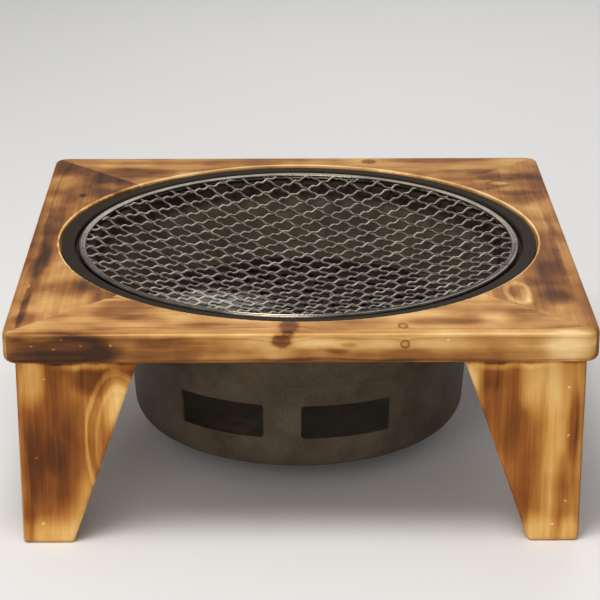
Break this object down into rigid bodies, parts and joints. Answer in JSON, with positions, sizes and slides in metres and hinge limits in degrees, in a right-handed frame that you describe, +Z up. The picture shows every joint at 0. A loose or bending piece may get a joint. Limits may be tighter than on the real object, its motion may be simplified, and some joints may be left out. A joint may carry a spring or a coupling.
{
  "type": "hibachi grill",
  "caption": "Low square charred-pine table with a round hole, in which a black flanged steel fire bowl hangs under a dished woven-wire cooking grate.",
  "frame": {"origin": "middle of the table at floor level", "axes": "+Z up, the front of the table towards -Y, +X to the right seen from the front"},
  "size_m": [0.4, 0.4, 0.159],
  "materials": {
    "charred_pine": "torch-charred and brushed pine under clear oil, satin",
    "plain_pine": "sawn pine, bare",
    "zinc_screw": "zinc-plated steel",
    "black_bowl_steel": "heat-resistant matte black-brown coating on pressed steel",
    "charcoal_plate_steel": "scaled dark steel plate with ash dust",
    "grate_steel": "dull galvanised steel wire, lightly tarnished"
  },
  "bodies": {
    "table": {"back_left_corner_block": "plain_pine", "back_left_leg_back_board": "charred_pine", "back_left_leg_left_board": "charred_pine", "back_right_corner_block": "plain_pine", "back_right_leg_back_board": "charred_pine", "back_right_leg_right_board": "charred_pine", "front_left_corner_block": "plain_pine", "front_left_leg_front_board": "charred_pine", "front_left_leg_left_board": "charred_pine", "front_right_corner_block": "plain_pine", "front_right_leg_front_board": "charred_pine", "front_right_leg_right_board": "charred_pine", "leg_screws": "zinc_screw", "mitre_dowels": "plain_pine", "top_board_back": "charred_pine", "top_board_front": "charred_pine", "top_board_left": "charred_pine", "top_board_right": "charred_pine", "top_screws": "zinc_screw"},
    "fire_bowl": {"fire_bowl_collar": "black_bowl_steel", "fire_bowl_pot": "black_bowl_steel"},
    "charcoal_plate": {"charcoal_plate": "charcoal_plate_steel"},
    "cooking_grate": {"grate_band": "grate_steel", "grate_wires_long": "grate_steel", "grate_wires_cross": "grate_steel"}
  },
  "joints": [
    {"name": "bowl_lift", "type": "slide", "parent": "table", "child": "fire_bowl", "axis": [0, 0, 1], "range_m": [0, 0.15]},
    {"name": "charcoal_lift", "type": "slide", "parent": "fire_bowl", "child": "charcoal_plate", "axis": [0, 0, 1], "range_m": [0, 0.038]},
    {"name": "grate_lift", "type": "slide", "parent": "fire_bowl", "child": "cooking_grate", "axis": [0, 0, 1], "range_m": [0, 0.06]}
  ]
}
